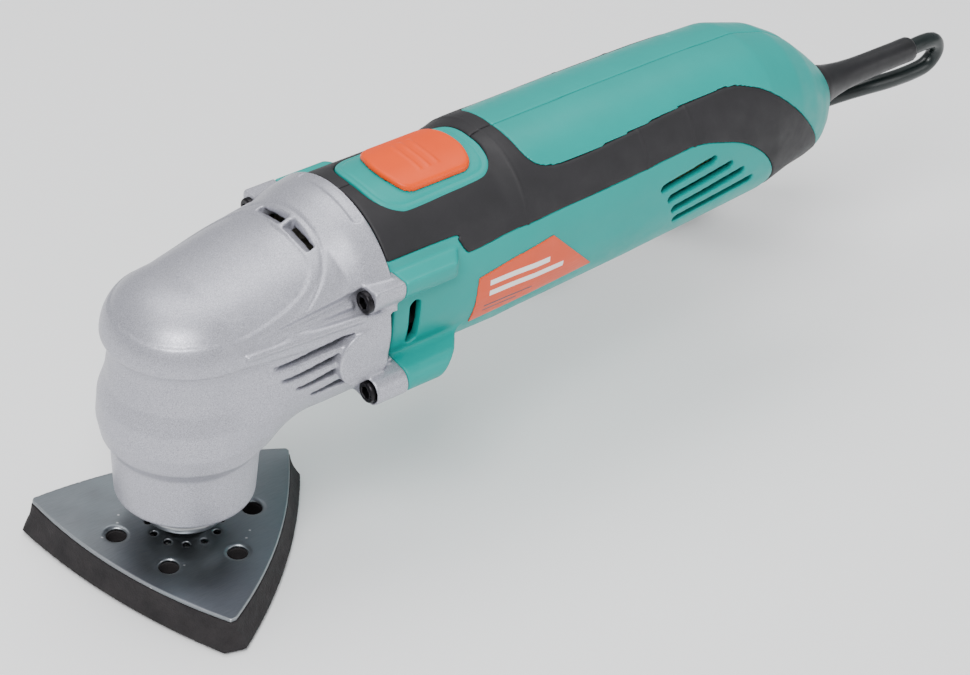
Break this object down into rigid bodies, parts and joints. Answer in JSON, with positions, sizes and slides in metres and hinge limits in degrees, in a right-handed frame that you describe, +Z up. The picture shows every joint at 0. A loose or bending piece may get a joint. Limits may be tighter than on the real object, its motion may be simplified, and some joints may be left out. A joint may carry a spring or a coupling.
{
  "type": "oscillating multi tool",
  "caption": "Mains oscillating multi tool: barrel body with slide switch, die-cast angle head, delta sanding pad on a steel plate, and cord with plug.",
  "frame": {"origin": "on the spindle axis, at the sanding face under the pad", "axes": "+Z up along the spindle, +X along the motor axis towards the cord, +Y to the far side of the tool"},
  "size_m": [0.3698, 0.1608, 0.1198],
  "materials": {
    "painted_casting": "satin silver paint with fine metallic grain",
    "housing_shell": "fine moulded texture, teal",
    "soft_grip": "matt soft overmould",
    "slider_plastic": "satin orange",
    "label_plate": "smooth orange",
    "black_screws": "black oxide",
    "bright_steel": "ground",
    "plate_steel": "zinc plated, brushed",
    "pad_foam": "closed-cell foam",
    "hook_layer": "fine hooks",
    "felt": "pressed felt",
    "laminations": "varnished sheet stack",
    "copper_wire": "enamelled copper",
    "brass_parts": "stamped",
    "plug_pin_metal": "nickel plated",
    "carbon": "pressed carbon",
    "dark_plastic": "moulded",
    "flange_alloy": "raw die casting",
    "cord_rubber": "satin black rubber",
    "tie_plastic": "thin strap",
    "plug_rubber": "moulded rubber"
  },
  "bodies": {
    "tool_body": {"gear_head": "painted_casting", "flange_screws": "black_screws", "dust_seal": "felt", "retaining_ring": "bright_steel", "lower_outer_ring": "bright_steel", "upper_outer_ring": "bright_steel", "spindle_bearing_balls": "bright_steel", "bearing_plate": "flange_alloy", "front_outer_ring": "bright_steel", "rear_outer_ring": "bright_steel", "motor_bearing_balls": "bright_steel", "rear_bearing_cup": "cord_rubber", "stator_core": "laminations", "field_coils": "copper_wire", "brush_holders": "brass_parts", "carbon_brushes": "carbon", "brush_springs": "brass_parts", "fan_baffle": "dark_plastic", "left_housing": "housing_shell", "right_housing": "housing_shell", "left_grip": "soft_grip", "right_grip": "soft_grip", "switch_surround": "housing_shell", "power_switch": "dark_plastic", "rating_label": "label_plate", "housing_screws": "bright_steel", "capacitor": "dark_plastic", "terminal_leads": "cord_rubber", "cord_clamp": "dark_plastic", "cord_clamp_screws": "bright_steel", "cord_guard": "cord_rubber", "inner_cord": "cord_rubber", "supply_cord": "cord_rubber", "plug_cord": "cord_rubber", "cord_hank": "cord_rubber", "cord_tie": "tie_plastic", "plug_body": "plug_rubber", "plug_pins": "plug_pin_metal"},
    "spindle_group": {"spindle": "bright_steel", "swing_fork": "bright_steel", "tool_collar": "bright_steel", "clamp_screw": "bright_steel", "clamp_washer": "bright_steel", "pad_plate": "plate_steel", "foam_pad": "pad_foam", "hook_sheet": "hook_layer", "lower_inner_ring": "bright_steel", "upper_inner_ring": "bright_steel"},
    "armature": {"motor_shaft": "bright_steel", "eccentric_bearing": "bright_steel", "armature_core": "laminations", "armature_windings": "copper_wire", "commutator": "copper_wire", "cooling_fan": "dark_plastic", "front_inner_ring": "bright_steel", "rear_inner_ring": "bright_steel"},
    "slide_switch": {"switch_slider": "slider_plastic", "switch_rod": "dark_plastic"}
  },
  "joints": [
    {"name": "spindle_oscillation", "type": "hinge", "parent": "tool_body", "child": "spindle_group", "pos_m": [0, 0, 0.05], "axis": [0, 0, 1], "range_deg": [-1.6, 1.6]},
    {"name": "armature_spin", "type": "hinge", "parent": "tool_body", "child": "armature", "pos_m": [0.1, 0, 0.085], "axis": [1, 0, 0], "continuous": true},
    {"name": "switch_slide", "type": "slide", "parent": "tool_body", "child": "slide_switch", "axis": [-1, 0, 0], "range_m": [0, 0.008]}
  ]
}
